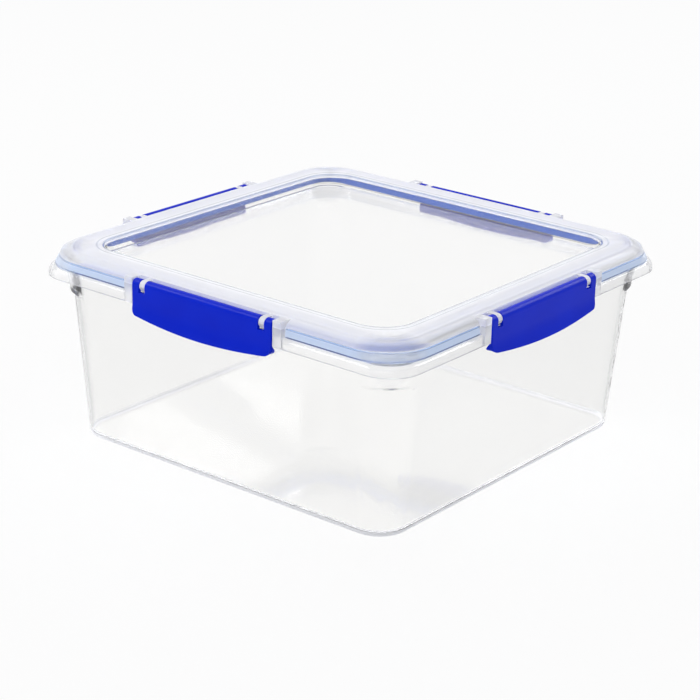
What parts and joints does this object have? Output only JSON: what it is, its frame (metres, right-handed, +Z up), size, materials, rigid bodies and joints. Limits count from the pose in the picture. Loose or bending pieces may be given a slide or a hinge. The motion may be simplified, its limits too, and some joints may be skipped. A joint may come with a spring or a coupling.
{
  "type": "food storage container",
  "caption": "Square clear food keeper: drafted tub with a turned down rim, lift-off lid with a soft seal, and hinged clips that hook under the rim.",
  "frame": {"origin": "centre of the underside of the tub, on the surface that it stands on", "axes": "+Z up through the middle of the lid; -Y towards the front clip and +X towards the right clip"},
  "size_m": [0.2718, 0.2718, 0.1152],
  "materials": {
    "tub_clear": "clear polypropylene, slightly milky, glossy",
    "lid_clear": "clear polypropylene, glossy",
    "seal_rubber": "soft satin silicone",
    "clip_blue": "glossy moulded plastic"
  },
  "bodies": {
    "tub": {"tub": "tub_clear"},
    "lid": {"lid": "lid_clear", "seal": "seal_rubber"},
    "front_clip": {"front_clip": "clip_blue"},
    "right_clip": {"right_clip": "clip_blue"},
    "back_clip": {"back_clip": "clip_blue"},
    "left_clip": {"left_clip": "clip_blue"}
  },
  "joints": [
    {"name": "lid_lift", "type": "slide", "parent": "tub", "child": "lid", "axis": [0, 0, 1], "range_m": [0, 0.03]},
    {"name": "front_clip_hinge", "type": "hinge", "parent": "lid", "child": "front_clip", "pos_m": [0, -0.12949, 0.1107], "axis": [-1, 0, 0], "range_deg": [0, 120]},
    {"name": "right_clip_hinge", "type": "hinge", "parent": "lid", "child": "right_clip", "pos_m": [0.12949, 0, 0.1107], "axis": [0, -1, 0], "range_deg": [0, 120]},
    {"name": "back_clip_hinge", "type": "hinge", "parent": "lid", "child": "back_clip", "pos_m": [0, 0.12949, 0.1107], "axis": [1, 0, 0], "range_deg": [0, 120]},
    {"name": "left_clip_hinge", "type": "hinge", "parent": "lid", "child": "left_clip", "pos_m": [-0.12949, 0, 0.1107], "axis": [0, 1, 0], "range_deg": [0, 120]}
  ],
  "couplings": [
    {"joint": "front_clip_hinge", "follows": "lid_lift", "rad_per_m": 69.812},
    {"joint": "right_clip_hinge", "follows": "lid_lift", "rad_per_m": 69.812},
    {"joint": "back_clip_hinge", "follows": "lid_lift", "rad_per_m": 69.812},
    {"joint": "left_clip_hinge", "follows": "lid_lift", "rad_per_m": 69.812}
  ]
}
